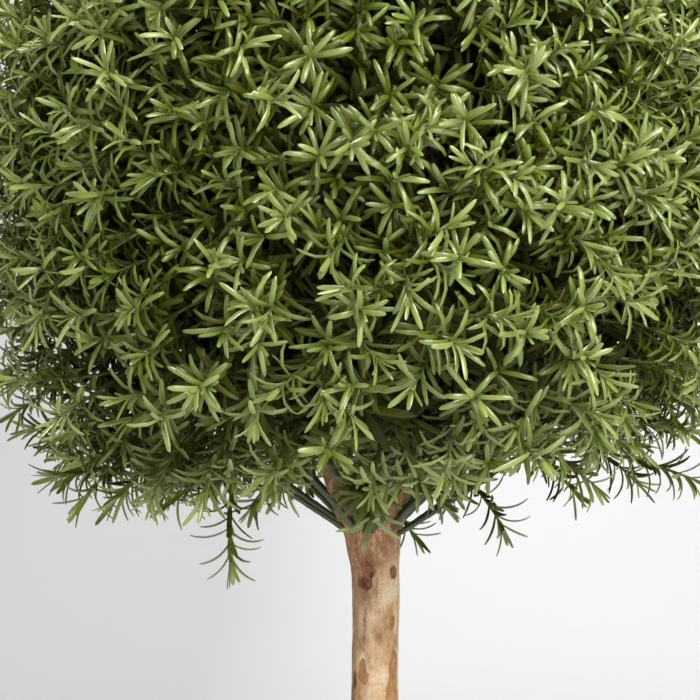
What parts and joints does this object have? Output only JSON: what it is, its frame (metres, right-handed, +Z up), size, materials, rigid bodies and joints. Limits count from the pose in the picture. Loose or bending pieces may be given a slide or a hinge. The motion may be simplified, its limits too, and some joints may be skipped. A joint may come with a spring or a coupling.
{
  "type": "potted topiary plant",
  "caption": "Artificial rosemary standard: a clipped ball of needle-leaved sprigs on a bare natural-wood trunk, in a plain tapered clay pot.",
  "frame": {"origin": "middle of the pot's flat underside, on the floor", "axes": "+Z is up along the trunk; the trunk's fork lies along X; -Y is the front"},
  "size_m": [0.6093, 0.6242, 1.4496],
  "materials": {
    "clay": "matte",
    "mix": "matte",
    "bark": "matte",
    "stem": "satin",
    "foliage": "satin"
  },
  "bodies": {
    "root": {"branch_lower_1a": "stem", "branch_lower_1b": "stem", "branch_lower_2a": "stem", "branch_lower_2b": "stem", "branch_lower_3a": "stem", "branch_lower_3b": "stem", "branch_lower_4a": "stem", "branch_lower_4b": "stem", "branch_lower_5a": "stem", "branch_lower_5b": "stem", "branch_lower_6a": "stem", "branch_lower_6b": "stem", "branch_lower_7a": "stem", "branch_lower_7b": "stem", "branch_middle_1": "stem", "branch_middle_2": "stem", "branch_middle_3": "stem", "branch_middle_4": "stem", "branch_middle_5": "stem", "branch_middle_6": "stem", "branch_middle_7": "stem", "branch_top": "stem", "branch_upper_1": "stem", "branch_upper_2": "stem", "branch_upper_3": "stem", "branch_upper_4": "stem", "branch_upper_5": "stem", "foliage_lower_1": "foliage", "foliage_lower_2": "foliage", "foliage_lower_3": "foliage", "foliage_lower_4": "foliage", "foliage_lower_5": "foliage", "foliage_lower_6": "foliage", "foliage_lower_7": "foliage", "foliage_middle_1": "foliage", "foliage_middle_2": "foliage", "foliage_middle_3": "foliage", "foliage_middle_4": "foliage", "foliage_middle_5": "foliage", "foliage_middle_6": "foliage", "foliage_middle_7": "foliage", "foliage_top": "foliage", "foliage_upper_1": "foliage", "foliage_upper_2": "foliage", "foliage_upper_3": "foliage", "foliage_upper_4": "foliage", "foliage_upper_5": "foliage", "fork_left": "bark", "fork_right": "bark", "pot": "clay", "potting_mix": "mix", "trunk": "bark"}
  },
  "joints": []
}
